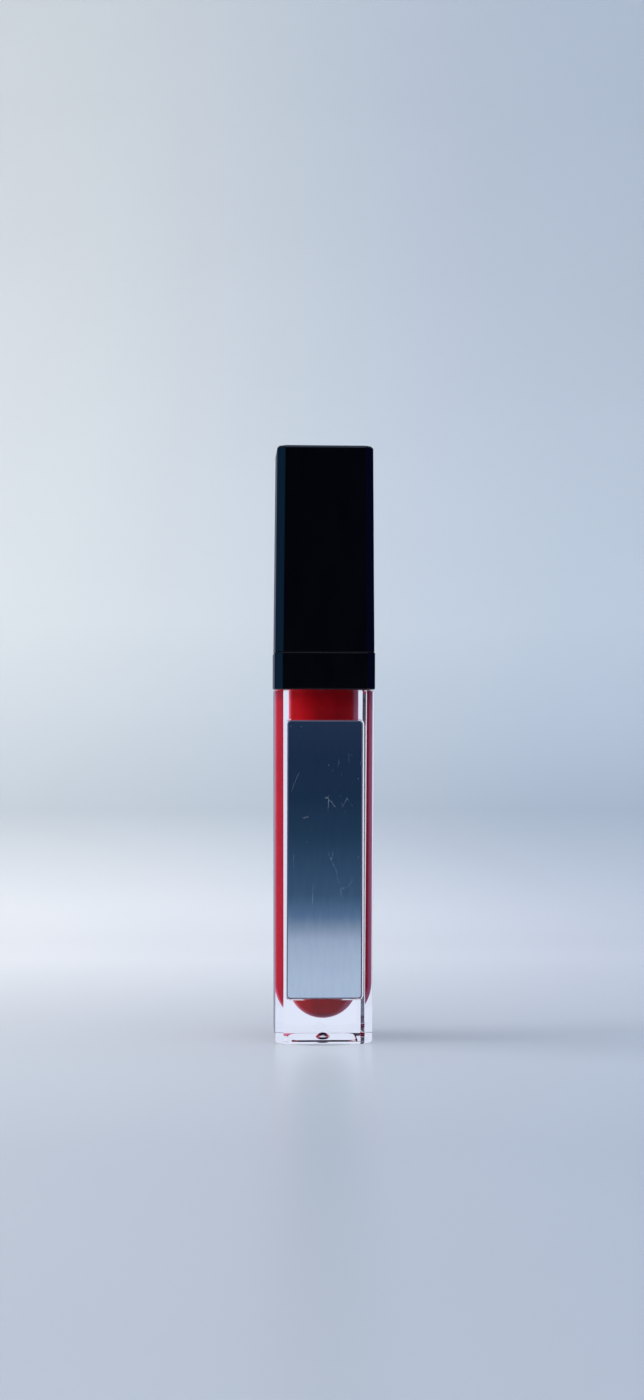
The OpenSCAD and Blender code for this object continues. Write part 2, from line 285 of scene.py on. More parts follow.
def math_node(tree, operation, a, b, clamp=False):
    return add(tree, "Math", a, b, operation=operation, use_clamp=clamp).outputs[0]


def times(tree, a, b):
    return math_node(tree, "MULTIPLY", a, b)


def mix_colours(tree, factor, a, b):
    made = add(tree, "Mix", data_type="RGBA")
    for index, value in ((0, factor), (6, a), (7, b)):
        feed(tree, made.inputs[index], value)
    return made.outputs[2]


def layers(tree, colour, *laid):
    """A colour with others laid over it: each (factor, colour) covers where its factor is 1."""
    for factor, cover in laid:
        colour = mix_colours(tree, factor, colour, cover)
    return colour


def mix_shaders(tree, factor, a, b):
    """Shader a where the factor is 0, and b where it is 1."""
    return add(tree, "MixShader", factor, a.outputs[0], b.outputs[0])


def ramp(tree, value, *stops):
    """A colour ramp of (position, grey or colour) stops."""
    made = add(tree, "ValToRGB", value)
    elements = made.color_ramp.elements
    while len(elements) < len(stops):
        elements.new(0.5)
    for element, (position, colour) in zip(elements, stops):
        element.position = position
        element.color = (*colour, 1) if isinstance(colour, tuple) else (colour,) * 3 + (1,)
    return made.outputs[0]


def axes_of(tree, kind="Object"):
    """X, Y and Z of one of the texture coordinates."""
    return add(tree, "SeparateXYZ", add(tree, "TexCoord").outputs[kind]).outputs


def tone_along(tree, value, tones):
    """A colour that follows a value through stops of (value, colour)."""
    low, high = tones[0][0], tones[-1][0]
    share = add(tree, "MapRange", value=value, from_min=low, from_max=high).outputs[0]
    return ramp(tree, share, *(((at - low) / (high - low), tone) for at, tone in tones))


def step_between(tree, value, start, end):
    """A smooth step from 0 at start to 1 at end."""
    return add(tree, "MapRange", interpolation_type="SMOOTHSTEP", value=value, from_min=start,
               from_max=end).outputs[0]


def in_mm(tree, stretch=(1, 1, 1)):
    """Object coordinates in millimetres, stretched along each axis."""
    coords = add(tree, "TexCoord").outputs["Object"]
    scale = tuple(s / MM for s in stretch)
    return add(tree, "Mapping", vector=coords, scale=scale).outputs[0]


def noise(tree, vector, size_mm, detail=3.0, roughness=0.5):
    """Noise whose features are about size_mm across."""
    return add(tree, "TexNoise", vector=vector, scale=1 / size_mm, detail=detail,
               roughness=roughness).outputs["Fac"]


def bump(tree, height, strength, distance_mm):
    return add(tree, "Bump", height=height, strength=strength,
               distance=distance_mm * MM).outputs[0]


def shown(material, shader):
    """The material, with a shader on its surface."""
    add(material.node_tree, "OutputMaterial", shader.outputs[0])
    return material


def surface(material, colour, roughness, relief, **settings):
    """The material, with one principled shader. relief is (height, strength, distance in mm)."""
    tree = material.node_tree
    if relief:
        settings["normal"] = bump(tree, *relief)
    return shown(material, add(tree, "BsdfPrincipled", base_color=colour, roughness=roughness,
                               **settings))


def darker(colour, share):
    return tuple(c * share for c in colour)


def satin_black():
    """Moulded black with a fine satin grain, faint rubbing and a little dust."""
    material, tree = new_tree("satin_black")
    mm = in_mm(tree)
    grain = noise(tree, mm, 0.05, 2)
    rubbed = noise(tree, in_mm(tree, (1, 1, 0.25)), 3.5, 4)
    speck = add(tree, "TexVoronoi", vector=mm, scale=0.45)
    dust = ramp(tree, speck.outputs["Distance"], (0.0, 1.0), (0.022, 1.0), (0.03, 0.0))
    colour = mix_colours(tree, dust, (0.0003, 0.0004, 0.0024), (0.02, 0.025, 0.035))
    roughness = ramp(tree, rubbed, (0.3, 0.26), (0.7, 0.34))
    return surface(material, colour, roughness, (grain, 0.12, 0.01), ior=1.46)


def clear_plastic(name, tint):
    """Polished clear plastic.

    Lamps and bounced light pass it straight, so what it holds is lit. Paths that have been
    reflected four times or more end in a flat grey colour, a painted reflection.
    """
    material, tree = new_tree(name)
    wave = noise(tree, in_mm(tree, (1, 1, 0.3)), 6, 1)
    smear = noise(tree, in_mm(tree, (1, 1, 0.4)), 2.2, 5, 0.6)
    roughness = ramp(tree, smear, (0.45, 0.0), (0.75, 0.03))
    glass = add(tree, "BsdfPrincipled", base_color=tint, roughness=roughness,
                normal=bump(tree, wave, 0.05, 0.02), ior=1.5, transmission_weight=1.0)
    path = add(tree, "LightPath").outputs
    # painted reflection: paths reflected many times inside the plastic show this flat grey
    painted_deep_reflection = add(tree, "BsdfDiffuse", color=(0.17, 0.17, 0.24))
    tangled = step_between(tree, path["Glossy Depth"], 3.4, 4.6)
    straight = math_node(tree, "MAXIMUM", path["Is Shadow Ray"], path["Is Diffuse Ray"])
    through = add(tree, "BsdfTransparent", color=(0.94, 0.95, 0.96))
    return shown(material, mix_shaders(tree, straight, mix_shaders(tree, tangled, glass, painted_deep_reflection),
                                       through))


def red_gloss():
    """Thick red gloss pressed against the wall: streaks of pigment, no shine of its own there.

    It has painted light and shade: it is painted paler where it is seen at a slant, painted dark
    under its round bottom and darker there in reflections, and painted a hazy purple on the side
    toward +X.
    """
    material, tree = new_tree("red_gloss")
    streak = noise(tree, in_mm(tree, (1, 1, 0.12)), 2.5, 4)
    cloud = noise(tree, in_mm(tree), 1.2, 3)
    both = math_node(tree, "ADD", times(tree, streak, 0.6), times(tree, cloud, 0.4))
    deep = ramp(tree, both, (0.35, (0.32, 0.0006, 0.003)), (0.65, (0.43, 0.0012, 0.005)))
    facing = add(tree, "LayerWeight", blend=0.5).outputs["Facing"]
    normal = axes_of(tree, "Normal")
    # painted haze: the side toward +X, seen at a slant, is painted a paler purple
    painted_right_haze = times(tree, step_between(tree, facing, 0.42, 0.58),
                 step_between(tree, normal["X"], 0.35, 0.70))
    # painted shade under the gloss's round bottom
    under = step_between(tree, normal["Z"], -0.75, -0.97)
    mirrored = step_between(tree, add(tree, "LightPath").outputs["Glossy Depth"], 0.4, 0.6)
    # painted shade, darker still, where the bottom is seen in reflections
    shaded = times(tree, mirrored, step_between(tree, normal["Z"], -0.15, -0.5))
    # painted light: the gloss is painted pale pink where it is seen at a slant
    painted_edge_light = step_between(tree, facing, 0.55, 1.0)
    colour = layers(tree, deep, (painted_right_haze, (0.46, 0.090, 0.160)),
                    (under, (0.10, 0.004, 0.030)), (shaded, (0.030, 0.005, 0.045)),
                    (painted_edge_light, (0.78, 0.20, 0.32)))
    return surface(material, colour, 0.45, (cloud, 0.1, 0.05), specular_ior_level=0.05)


def moulded_plastic(name, colour, roughness, translucent=0.0):
    """Injection-moulded plastic: a faint spark-eroded grain, flow clouds and handling marks."""
    material, tree = new_tree(name)
    mm = in_mm(tree)
    grain = noise(tree, mm, 0.07, 3)
    cloud = noise(tree, mm, 4.0, 3)
    tone = ramp(tree, cloud, (0.3, darker(colour, 0.88)), (0.7, colour))
    worn = ramp(tree, noise(tree, in_mm(tree, (1, 1, 0.4)), 1.5, 4),
                (0.35, roughness - 0.06), (0.7, roughness + 0.08))
    return surface(material, tone, worn, (grain, 0.15, 0.01), subsurface_weight=translucent,
                   subsurface_scale=0.8 * MM)


def brushed_metal(name, colour, roughness):
    """Plated sheet with fine drawn lines and a few scratches."""
    material, tree = new_tree(name)
    lines = noise(tree, in_mm(tree, (0.15, 1, 6)), 0.25, 3)
    stain = noise(tree, in_mm(tree), 2.0, 4)
    tone = ramp(tree, stain, (0.35, darker(colour, 0.8)), (0.65, colour))
    rough = ramp(tree, lines, (0.3, roughness - 0.06), (0.7, roughness + 0.10))
    return surface(material, tone, rough, (lines, 0.12, 0.01), metallic=1.0)


def circuit_board():
    """Green solder mask over tracks, with tinned pads."""
    material, tree = new_tree("circuit_board")
    mm = in_mm(tree)
    tracks = add(tree, "TexBrick", vector=mm, scale=0.9, mortar_size=0.045).outputs["Fac"]
    pads = add(tree, "TexVoronoi", vector=mm, scale=0.42, randomness=0.4)
    pad = ramp(tree, pads.outputs["Distance"], (0.0, 1.0), (0.16, 1.0), (0.19, 0.0))
    mask = mix_colours(tree, tracks, (0.010, 0.105, 0.040), (0.020, 0.170, 0.065))
    colour = mix_colours(tree, pad, mask, (0.62, 0.62, 0.60))
    height = math_node(tree, "ADD", tracks, pad)
    return surface(material, colour, 0.32, (height, 0.3, 0.03), metallic=pad)


def foam(name, colour):
    """Closed-cell foam."""
    material, tree = new_tree(name)
    cells = add(tree, "TexVoronoi", vector=in_mm(tree), scale=6.0).outputs["Distance"]
    tone = ramp(tree, cells, (0.1, darker(colour, 0.7)), (0.6, colour))
    return surface(material, tone, 0.85, (cells, 0.4, 0.05))


def lamp_lens():
    """Milky lamp with a yellow patch of phosphor deep inside."""
    material, tree = new_tree("lamp_lens")
    cloud = noise(tree, in_mm(tree), 0.6, 3)
    tone = ramp(tree, cloud, (0.3, (0.80, 0.74, 0.42)), (0.7, (0.88, 0.86, 0.70)))
    return surface(material, tone, 0.12, (cloud, 0.05, 0.02), coat_weight=0.5,
                   subsurface_weight=0.4, subsurface_scale=0.6 * MM)


def wet_stem():
    """The part of the stem that stands in the gloss: a thin red film, thicker in runs."""
    material, tree = new_tree("wet_stem")
    runs = noise(tree, in_mm(tree, (1.2, 1.2, 0.12)), 1.6, 4)
    colour = ramp(tree, runs, (0.35, (0.62, 0.20, 0.22)), (0.5, (0.48, 0.02, 0.035)),
                  (0.7, (0.34, 0.005, 0.014)))
    return surface(material, colour, 0.12, (runs, 0.5, 0.15), coat_weight=1.0,
                   coat_roughness=0.04)


def flock():
    """Nylon flock soaked in gloss."""
    material, tree = new_tree("flock")
    clump = noise(tree, in_mm(tree, (1, 1, 0.5)), 0.9, 4)
    colour = ramp(tree, clump, (0.3, (0.24, 0.004, 0.012)), (0.65, (0.50, 0.016, 0.032)))
    rough = ramp(tree, clump, (0.3, 0.15), (0.7, 0.45))
    return surface(material, colour, rough, (clump, 0.5, 0.1), sheen_weight=0.3)


def mirror_face():
    """Silvering behind glass: dust in patches, smears down its length and a few fine scratches."""
    material, tree = new_tree("mirror_face")
    mm = in_mm(tree)
    speck = add(tree, "TexVoronoi", vector=mm, scale=0.9).outputs["Distance"]
    dust = times(tree, step_between(tree, speck, 0.10, 0.04),
                 step_between(tree, noise(tree, mm, 7, 2), 0.50, 0.66))
    long = in_mm(tree, (1, 1, 0.35))
    bent = add(tree, "TexNoise", vector=long, scale=0.25, detail=2.0).outputs["Color"]
    curved = add(tree, "VectorMath", bent, (2.5, 2.5, 2.5), long, operation="MULTIPLY_ADD")
    line = add(tree, "TexVoronoi", vector=curved.outputs[0], scale=0.22,
               feature="DISTANCE_TO_EDGE").outputs["Distance"]
    scratch = times(tree, step_between(tree, line, 0.010, 0.002),
                    step_between(tree, noise(tree, mm, 5, 1), 0.56, 0.64))
    marks = math_node(tree, "MAXIMUM", times(tree, dust, 0.45), times(tree, scratch, 0.22))
    smear = noise(tree, in_mm(tree, (1, 1, 0.2)), 1.1, 5, 0.65)
    tone = ramp(tree, smear, (0.35, (0.74, 0.81, 0.92)), (0.65, (0.79, 0.86, 0.945)))
    return surface(material, mix_colours(tree, marks, tone, (0.62, 0.66, 0.72)),
                   ramp(tree, smear, (0.4, 0.03), (0.7, 0.08)), None,
                   metallic=math_node(tree, "SUBTRACT", 1.0, marks))


def mirror_edge():
    """Ground edge of the mirror, dark partly from the backing paint behind it and partly from
    painted shade in the gap round it.
    """
    material, tree = new_tree("mirror_edge")
    grit = noise(tree, in_mm(tree), 0.08, 2)
    # dark blue-grey: backing paint and painted gap shade together
    colour = ramp(tree, grit, (0.3, (0.10, 0.11, 0.18)), (0.7, (0.16, 0.17, 0.26)))
    return surface(material, colour, 0.35, (grit, 0.2, 0.01))


# -------- pieces of the bottle

def bottle_half(z):
    """Half of the bottle's width at a height."""
    return BASE_W / 2 + (BOTTLE_HIGH.x - BASE_W / 2) * z / SHOULDER_Z


def thread_height(angle, z):
    """How far the neck's surface stands out for the thread, at a place on the neck."""
    start, half_width, spare, run_in = SHOULDER_Z + 2.0 * MM, 0.75 * MM, 0.05, 0.12
    best = 0.0
    for turn in range(-1, 3):
        along = angle / (2 * math.pi) + turn
        if not -spare <= along <= THREAD_TURNS + spare:
            continue
        share = min(1.0, (along + spare) / run_in, (THREAD_TURNS + spare - along) / run_in)
        away = abs(z - (start + along * THREAD_PITCH)) / half_width
        flank = min(1.0, max(0.0, (1.0 - away) / 0.6))
        best = max(best, share * flank * flank * (3 - 2 * flank))
    return THREAD_DEPTH * best


def rounded_rectangle(width, height, corner, steps=8):
    """Points of a rectangle with round corners, anticlockwise, centred on the origin."""
    points = []
    for quarter, (sx, sz) in enumerate(((1, 1), (-1, 1), (-1, -1), (1, -1))):
        cx, cz = sx * (width / 2 - corner), sz * (height / 2 - corner)
        for i in range(steps + 1):
            t = math.radians(90 * (quarter + i / steps))
            points.append(Vector((cx + corner * math.cos(t), cz + corner * math.sin(t))))
    return points


DRAFT = math.atan((BOTTLE_HIGH.x - BASE_W / 2) / SHOULDER_Z)
FACE = Matrix.Translation((0, -BASE_W / 2, 0)) @ Matrix.Rotation(DRAFT, 4, "X")
MIRROR_W = MIRROR_HIGH.x - MIRROR_LOW.x
MIRROR_H = (MIRROR_HIGH.z - MIRROR_LOW.z) / math.cos(DRAFT)
MIRROR_MID = (MIRROR_HIGH.z + MIRROR_LOW.z) / 2
MIRROR_CORNER = 0.75 * MM
MIRROR_T = 0.8 * MM
MIRROR_PROUD = 0.05 * MM
RECESS_GAP = 0.1 * MM
RECESS_DEPTH = 0.9 * MM
RECESS_RIM = 0.2 * MM        # bevel round the recess's mouth


def on_face(point, depth):
    """A point of the front face, x and height, at a depth into the bottle."""
    return FACE @ Vector((point.x, depth, point.y + MIRROR_MID))


def mirror_outline(spare):
    """The mirror's outline, wider all round by spare."""
    return rounded_rectangle(MIRROR_W + 2 * spare, MIRROR_H + 2 * spare, MIRROR_CORNER + spare)


def face_ring(bm, outline, depth):
    return [bm.verts.new(on_face(p, depth)) for p in outline]


def cut_recess(bm, face):
    """Replaces the front face by one with the mirror's recess sunk into it."""
    outer = list(face.edges)
    bm.faces.remove(face)
    outline = mirror_outline(RECESS_GAP)
    rims = [face_ring(bm, mirror_outline(RECESS_GAP + RECESS_RIM), 0.0),
            face_ring(bm, outline, RECESS_RIM), face_ring(bm, outline, RECESS_DEPTH)]
    mouth = [bm.edges.new(pair) for pair in zip(rims[0], rims[0][1:] + rims[0][:1])]
    bmesh.ops.triangle_fill(bm, edges=outer + mouth, use_beauty=True, normal=(0, -1, 0))
    skin_all(bm, rims)
    bm.faces.new(rims[-1])


def build_underside(bm, foot_ring):
    """A rim, a shallow square recess and a dimple that is part of a sphere."""
    recess = round_corners([(-0.5 * MM, 0), (0, 0), (0.8 * MM, 0.9 * FOOT_RECESS_H),
                            (1.5 * MM, FOOT_RECESS_H)], 0.1 * MM, 4)
    under = [foot_ring]
    for inset, z in recess:
        under.append(add_ring(bm, square_ring(FOOT_RECESS_W / 2 - inset, 1.0 * MM, 0.3 * MM), z))
    sphere_r = (DIMPLE_R ** 2 + DIMPLE_DEPTH ** 2) / (2 * DIMPLE_DEPTH)
    widest = math.asin(DIMPLE_R / sphere_r)
    peak = FOOT_RECESS_H + DIMPLE_DEPTH
    dimple = [(DIMPLE_R + 0.08 * MM, FOOT_RECESS_H)]
    steps = 8
    for i in range(steps):
        t = widest * (1 - i / steps)
        dimple.append((sphere_r * math.sin(t), peak - sphere_r + sphere_r * math.cos(t)))
    under += round_rings(bm, dimple)
    skin_all(bm, under)
    close_fan(bm, under[-1], peak)


def build_neck(bm, shoulder_ring):
    """Neck and cavity. The thread is a swelling of the neck's own surface."""
    top = BOTTLE_HIGH.z
    neck = [shoulder_ring, add_ring(bm, round_ring(NECK_R + 0.15 * MM), SHOULDER_Z)]
    low, high = SHOULDER_Z + 0.15 * MM, top - 0.25 * MM
    levels = 72
    for i in range(levels + 1):
        z = low + (high - low) * i / levels
        ring = [Vector((math.cos(t), math.sin(t))) * (NECK_R + thread_height(t, z))
                for t in ring_angles()]
        neck.append(add_ring(bm, ring, z))
    neck += round_rings(bm, round_corners([
        (NECK_R, high), (NECK_R, top), (CAVITY_R, top), (CAVITY_R, high)], 0.2 * MM, 3)[1:])
    spring = CAVITY_FLOOR + DOME_DEPTH
    neck += round_rings(bm, [(CAVITY_R, spring)])
    neck += round_rings(bm, [(CAVITY_R * cos, spring - DOME_DEPTH * sin)
                             for sin, cos in quarter_turn(14)[1:-1]])
    skin_all(bm, neck)
    close_fan(bm, neck[-1], CAVITY_FLOOR)


def build_bottle(material):
    """Bottle body, shoulder, threaded neck, cavity and dimple, as one closed surface."""
    bm = bmesh.new()
    fillet = 0.10 * MM
    side = [(BASE_ROUND + 1.0 * MM, 0)]
    side += [(BASE_ROUND * (1 - sin), BASE_ROUND * (1 - cos)) for sin, cos in quarter_turn(8)]
    side += round_corners([
        (0, 10 * MM), (0, SHOULDER_Z - SHOULDER_BEVEL), (SHOULDER_BEVEL, SHOULDER_Z),
        (SHOULDER_BEVEL + 1.0 * MM, SHOULDER_Z)], 0.12 * MM, 3)[1:]
    rings = []
    for inset, z in side:
        rings += square_rings(bm, bottle_half, CORNER_CUT, fillet - inset / 2, [(inset, z)])
    skin_all(bm, rings)
    build_underside(bm, rings[0])
    build_neck(bm, rings[-1])

    bm.faces.ensure_lookup_table()
    front = max((f for f in bm.faces if len(f.verts) == 4 and f.calc_center_median().y < -9 * MM),
                key=lambda f: f.calc_area())
    cut_recess(bm, front)
    return finish_mesh("bottle_body", bm, [material])


def build_gloss(material):
    """The filling. Its skin lies just inside the plastic, so no film of air shows between."""
    sink = 0.03 * MM
    radius, top = CAVITY_R + sink, GLOSS_HIGH.z
    floor = CAVITY_FLOOR - sink
    spring = floor + DOME_DEPTH + sink
    bore_floor = 8.2 * MM
    dome = [(radius * sin, spring - (DOME_DEPTH + sink) * cos) for sin, cos in quarter_turn(18)]
    level = round_corners([
        (radius, spring + 1 * MM), (radius, top), (radius - 1.4 * MM, top - 0.35 * MM),
        (WAND_BORE + 0.8 * MM, top - 0.3 * MM), (WAND_BORE, top - 0.1 * MM),
        (WAND_BORE, bore_floor)], 0.4 * MM, 4)
    profile = [(0, floor)] + dome[1:] + level + [(0, bore_floor)]
    return turned("gloss_fill", [material], profile)


def build_mirror(face, edge):
    """Mirror plate with a narrow ground bevel round its front."""
    bm = bmesh.new()
    bevel = 0.22 * MM
    front, back = -MIRROR_PROUD, MIRROR_T - MIRROR_PROUD
    rings = [face_ring(bm, mirror_outline(-inset), depth) for inset, depth in
             ((0, back), (0, front + bevel * 0.6), (bevel, front))]
    skin_all(bm, rings, 1)
    bm.faces.new(rings[0]).material_index = 1
    bm.faces.new(rings[-1]).material_index = 0
    return finish_mesh("mirror_glass", bm, [face, edge])


# -------- pieces of the cap

def build_collar(material):
    bm = bmesh.new()
    low, high, bore, bevel = COLLAR_LOW.z, COLLAR_HIGH.z, 8.74 * MM, 0.17 * MM
    side = round_corners([
        (1.0 * MM, low), (bevel, low), (0, low + bevel), (0, high - bevel), (bevel, high),
        (1.0 * MM, high)], 0.08 * MM, 2)
    rings = square_rings(bm, COLLAR_HIGH.x, CORNER_CUT, 0.2 * MM, side)
    return tube("collar_ring", material, bm, rings + round_rings(bm, [(bore, high), (bore, low)]))


def build_shell(material):
    """Tapered shell, open below, with the button's hole in its roof."""
    bm = bmesh.new()
    low, high = SHELL_LOW.z, SHELL_HIGH.z

    def half(z):
        t = (z - low) / (high - low)
        return SHELL_HIGH.x * (1 - t) + SHELL_TOP_W / 2 * t

    rim, top, fillet = 0.15 * MM, 0.45 * MM, 0.22 * MM
    roof = high - ROOF_T
    hole_r = BUTTON_R + 0.05 * MM
    outside = round_corners([
        (SHELL_WALL - 0.1 * MM, low), (rim, low), (0, low + rim), (0, high - top), (top, high),
        (top + 1.5 * MM, high)], 0.12 * MM, 3)
    hole = round_corners([(hole_r + 0.5 * MM, high), (hole_r, high), (hole_r, roof)],
                         0.12 * MM, 3)
    inside = [(SHELL_WALL + 0.4 * MM, roof), (SHELL_WALL, roof - 0.3 * MM),
              (SHELL_WALL, low + 0.15 * MM)]
    rings = square_rings(bm, half, CORNER_CUT, fillet, outside) + round_rings(bm, hole)
    rings += square_rings(bm, half, CORNER_CUT, fillet, inside)
    return tube("shell_cover", material, bm, rings)


def build_button(material):
    """Push button with a shallow finger dish in its face."""
    low, face = BUTTON_LOW.z, BUTTON_HIGH.z
    post, flange_r, dish = 1.6 * MM, BUTTON_R + 1.1 * MM, 0.30 * MM
    flange = face - 1.1 * MM
    flange_low = flange - 0.85 * MM
    outline = round_corners([
        (0.3 * MM, low), (post, low), (post, flange_low), (flange_r, flange_low),
        (flange_r, flange), (BUTTON_R, flange), (BUTTON_R, face), (BUTTON_R - 0.5 * MM, face),
        (BUTTON_R - 1.2 * MM, face - 0.12 * MM), (0.6 * MM, face - dish)], 0.15 * MM, 3)
    return turned("button_cap", [material], [(0, low)] + outline + [(0, face - 0.31 * MM)])


# -------- pieces of the wand and neck

def build_wiper(material):
    """Collar pressed into the neck, with a cone that wipes the wand and a flange on the rim."""
    low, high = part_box("wiper")
    outer = CAVITY_R - 0.02 * MM
    inner = outer - 0.9 * MM
    rim, flange = BOTTLE_HIGH.z, high.x
    return turned_tube("wiper_insert", material, [
        (WAND_BORE, low.z), (WAND_BORE + 0.6 * MM, low.z), (outer, low.z + 2.5 * MM), (outer, rim),
        (flange, rim), (flange, high.z), (inner, high.z), (inner, low.z + 3.0 * MM),
        (WAND_BORE, low.z + 0.6 * MM)], 0.12 * MM)


def build_washer(material):
    low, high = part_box("seal_washer")
    bore = STEM_R + 0.5 * MM
    return turned_tube("foam_washer", material, [
        (bore, low.z), (high.x, low.z), (high.x, high.z), (bore, high.z)], 0.18 * MM)


def build_inner_cap(material):
    """Threaded sleeve under the collar, and the square spigot that the shell grips."""
    low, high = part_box("inner_cap")
    sleeve, bore = 8.72 * MM, NECK_R + THREAD_DEPTH + 0.1 * MM
    seam, floor = SHELL_LOW.z, high.z - 1.8 * MM
    hole, bevel = STEM_R + 0.02 * MM, 0.3 * MM
    bm = bmesh.new()
    rings = round_rings(bm, [
        (bore, low.z + 0.15 * MM), (bore + 0.1 * MM, low.z), (sleeve - 0.1 * MM, low.z),
        (sleeve, low.z + 0.1 * MM), (sleeve, seam)])
    rings += square_rings(bm, high.x, inner_cut(CORNER_CUT, SHELL_WALL), 0.25 * MM, [
        (0.02 * MM, seam), (0, seam + 0.05 * MM), (0, high.z - bevel),
        (0.1 * MM, high.z - 0.1 * MM), (bevel, high.z)])
    rings += round_rings(bm, [
        (hole + 0.1 * MM, high.z), (hole, high.z - 0.1 * MM), (hole, floor),
        (bore - 0.3 * MM, floor), (bore, floor - 0.3 * MM)])
    return tube("inner_cap_shell", material, bm, rings)


def build_stem(clear, wet):
    """Clear stem with a wide head that takes in the light. Gloss clings to its lower part."""
    low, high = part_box("wand_stem")
    tip_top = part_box("applicator_tip")[1].z
    head_low = high.z - 1.2 * MM
    wet_top = BOTTLE_HIGH.z - 8.2 * MM
    pin = 1.0 * MM
    lower = round_corners([(0.3 * MM, low.z), (pin, low.z), (pin, tip_top), (STEM_R, tip_top),
                           (STEM_R, tip_top + 1 * MM)], 0.15 * MM, 3)
    upper = round_corners([(STEM_R, wet_top + 0.1 * MM), (STEM_R, head_low), (high.x, head_low),
                           (high.x, high.z), (0.4 * MM, high.z)], 0.15 * MM, 3)
    profile = [(0, low.z)] + lower + [(STEM_R, wet_top)] + upper + [(0, high.z)]
    return turned("wand_rod", [clear, wet], profile, lambda middle: middle.z < wet_top)


def tip_radius(z, low, radius):
    """Radius of the tip's bullet shape at a height."""
    end = 4.5 * MM
    below = max(0.0, low + end - z) / end
    return radius * math.sqrt(max(0.0, 1 - below * below))


def tip_surface(angle, z, low, radius, skin_depth):
    """A point on the tip, or on the slanted flat where the flat cuts it, and the normal there."""
    lean = math.radians(22)
    r = tip_radius(z, low, radius)
    x, y = r * math.cos(angle), r * math.sin(angle)
    flat = (0.6 * MM - (z - low) * math.sin(lean)) / math.cos(lean) + skin_depth
    if y < flat:
        return Vector((x, flat, z)), Vector((0, -math.cos(lean), -math.sin(lean)))
    step = 0.02 * MM
    slope = (tip_radius(z + step, low, radius) - r) / step
    return Vector((x, y, z)), Vector((math.cos(angle), math.sin(angle), -slope)).normalized()


def build_tip(material):
    """Soft tip with a slanted flat, covered in short flock."""
    low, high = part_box("applicator_tip")
    fibre, fibres, fibre_r = 0.26 * MM, 2600, 0.045 * MM
    radius = high.x - fibre
    start = low.z + 0.55 * MM
    pin, pin_low = 1.02 * MM, high.z - 6 * MM
    shoulder = high.z - 0.05 * MM
    levels = 34
    bm = bmesh.new()
    rings = []
    for i in range(levels + 1):
        z = start + (high.z - 0.35 * MM - start) * (i / levels) ** 1.4
        rings.append([bm.verts.new(tip_surface(t, z, low.z, radius, fibre)[0])
                      for t in ring_angles()])
    rings += round_rings(bm, [(radius - 0.2 * MM, shoulder), (pin + 0.1 * MM, shoulder),
                              (pin, pin_low)])
    skin_all(bm, rings)
    close_fan(bm, rings[-1], pin_low)
    foot = sum((v.co for v in rings[0]), Vector()) / RING
    end = bm.verts.new(foot - Vector((0, 0, 0.2 * MM)))
    for i in range(RING):
        bm.faces.new((rings[0][(i + 1) % RING], rings[0][i], end))
    bmesh.ops.remove_doubles(bm, verts=bm.verts, dist=0.002 * MM)

    draw = random.Random(11)
    for _ in range(fibres):
        angle = draw.uniform(0, 2 * math.pi)
        z = draw.uniform(start, high.z - 0.5 * MM)
        root, normal = tip_surface(angle, z, low.z, radius, fibre)
        tilt = Vector([draw.gauss(0, 0.25) for _ in range(3)])
        ahead = (normal + tilt - Vector((0, 0, 0.15))).normalized()
        aside = ahead.orthogonal().normalized() * fibre_r
        about = ahead.cross(aside)
        base = [root + aside, root - aside * 0.5 + about * 0.87, root - aside * 0.5 - about * 0.87]
        corners = [bm.verts.new(p - normal * 0.03 * MM) for p in base]
        point = bm.verts.new(root + ahead * fibre * draw.uniform(0.55, 0.95))
        bm.faces.new(corners[::-1])
        for i in range(3):
            bm.faces.new((corners[i], corners[(i + 1) % 3], point))
    return finish_mesh("flocked_tip", bm, [material])


# -------- pieces of the light module

def build_reflector(material):
    low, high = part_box("reflector_cup")
    bore = STEM_HEAD_R + 0.1 * MM
    return turned_tube("light_cup", material, [
        (bore, low.z), (high.x, low.z), (high.x, high.z), (high.x - 1.2 * MM, high.z),
        (bore, low.z + 1.4 * MM)], 0.1 * MM)


def build_lamp(lens):
    """Domed lamp with the usual rim at its foot."""
    low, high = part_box("led")
    radius, rim, rim_low = 1.5 * MM, high.x, high.z - 0.6 * MM
    dome = [(radius * sin, low.z + radius * (1 - cos)) for sin, cos in quarter_turn(8)]
    foot = round_corners([(radius, high.z - 0.7 * MM), (radius, rim_low), (rim, rim_low),
                          (rim, high.z), (0.5 * MM, high.z)], 0.08 * MM, 2)
    return turned("lamp_lens", [lens], [(0, low.z)] + dome[1:] + foot + [(0, high.z)])


def build_lamp_board(board, copper):
    """Round board with a broad contact pad for the spring on its upper side."""
    low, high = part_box("led_board")
    radius, pad, lift = high.x, 5.2 * MM, 0.03 * MM
    outline = round_corners([(0.5 * MM, low.z), (radius, low.z), (radius, high.z - lift),
                             (pad, high.z - lift)], 0.08 * MM, 2)
    profile = [(0, low.z)] + outline + [(pad, high.z), (1.2 * MM, high.z), (0, high.z)]
    return turned("lamp_board", [board, copper], profile,
                  lambda middle: middle.z > high.z - 0.5 * lift and middle.xy.length < pad)


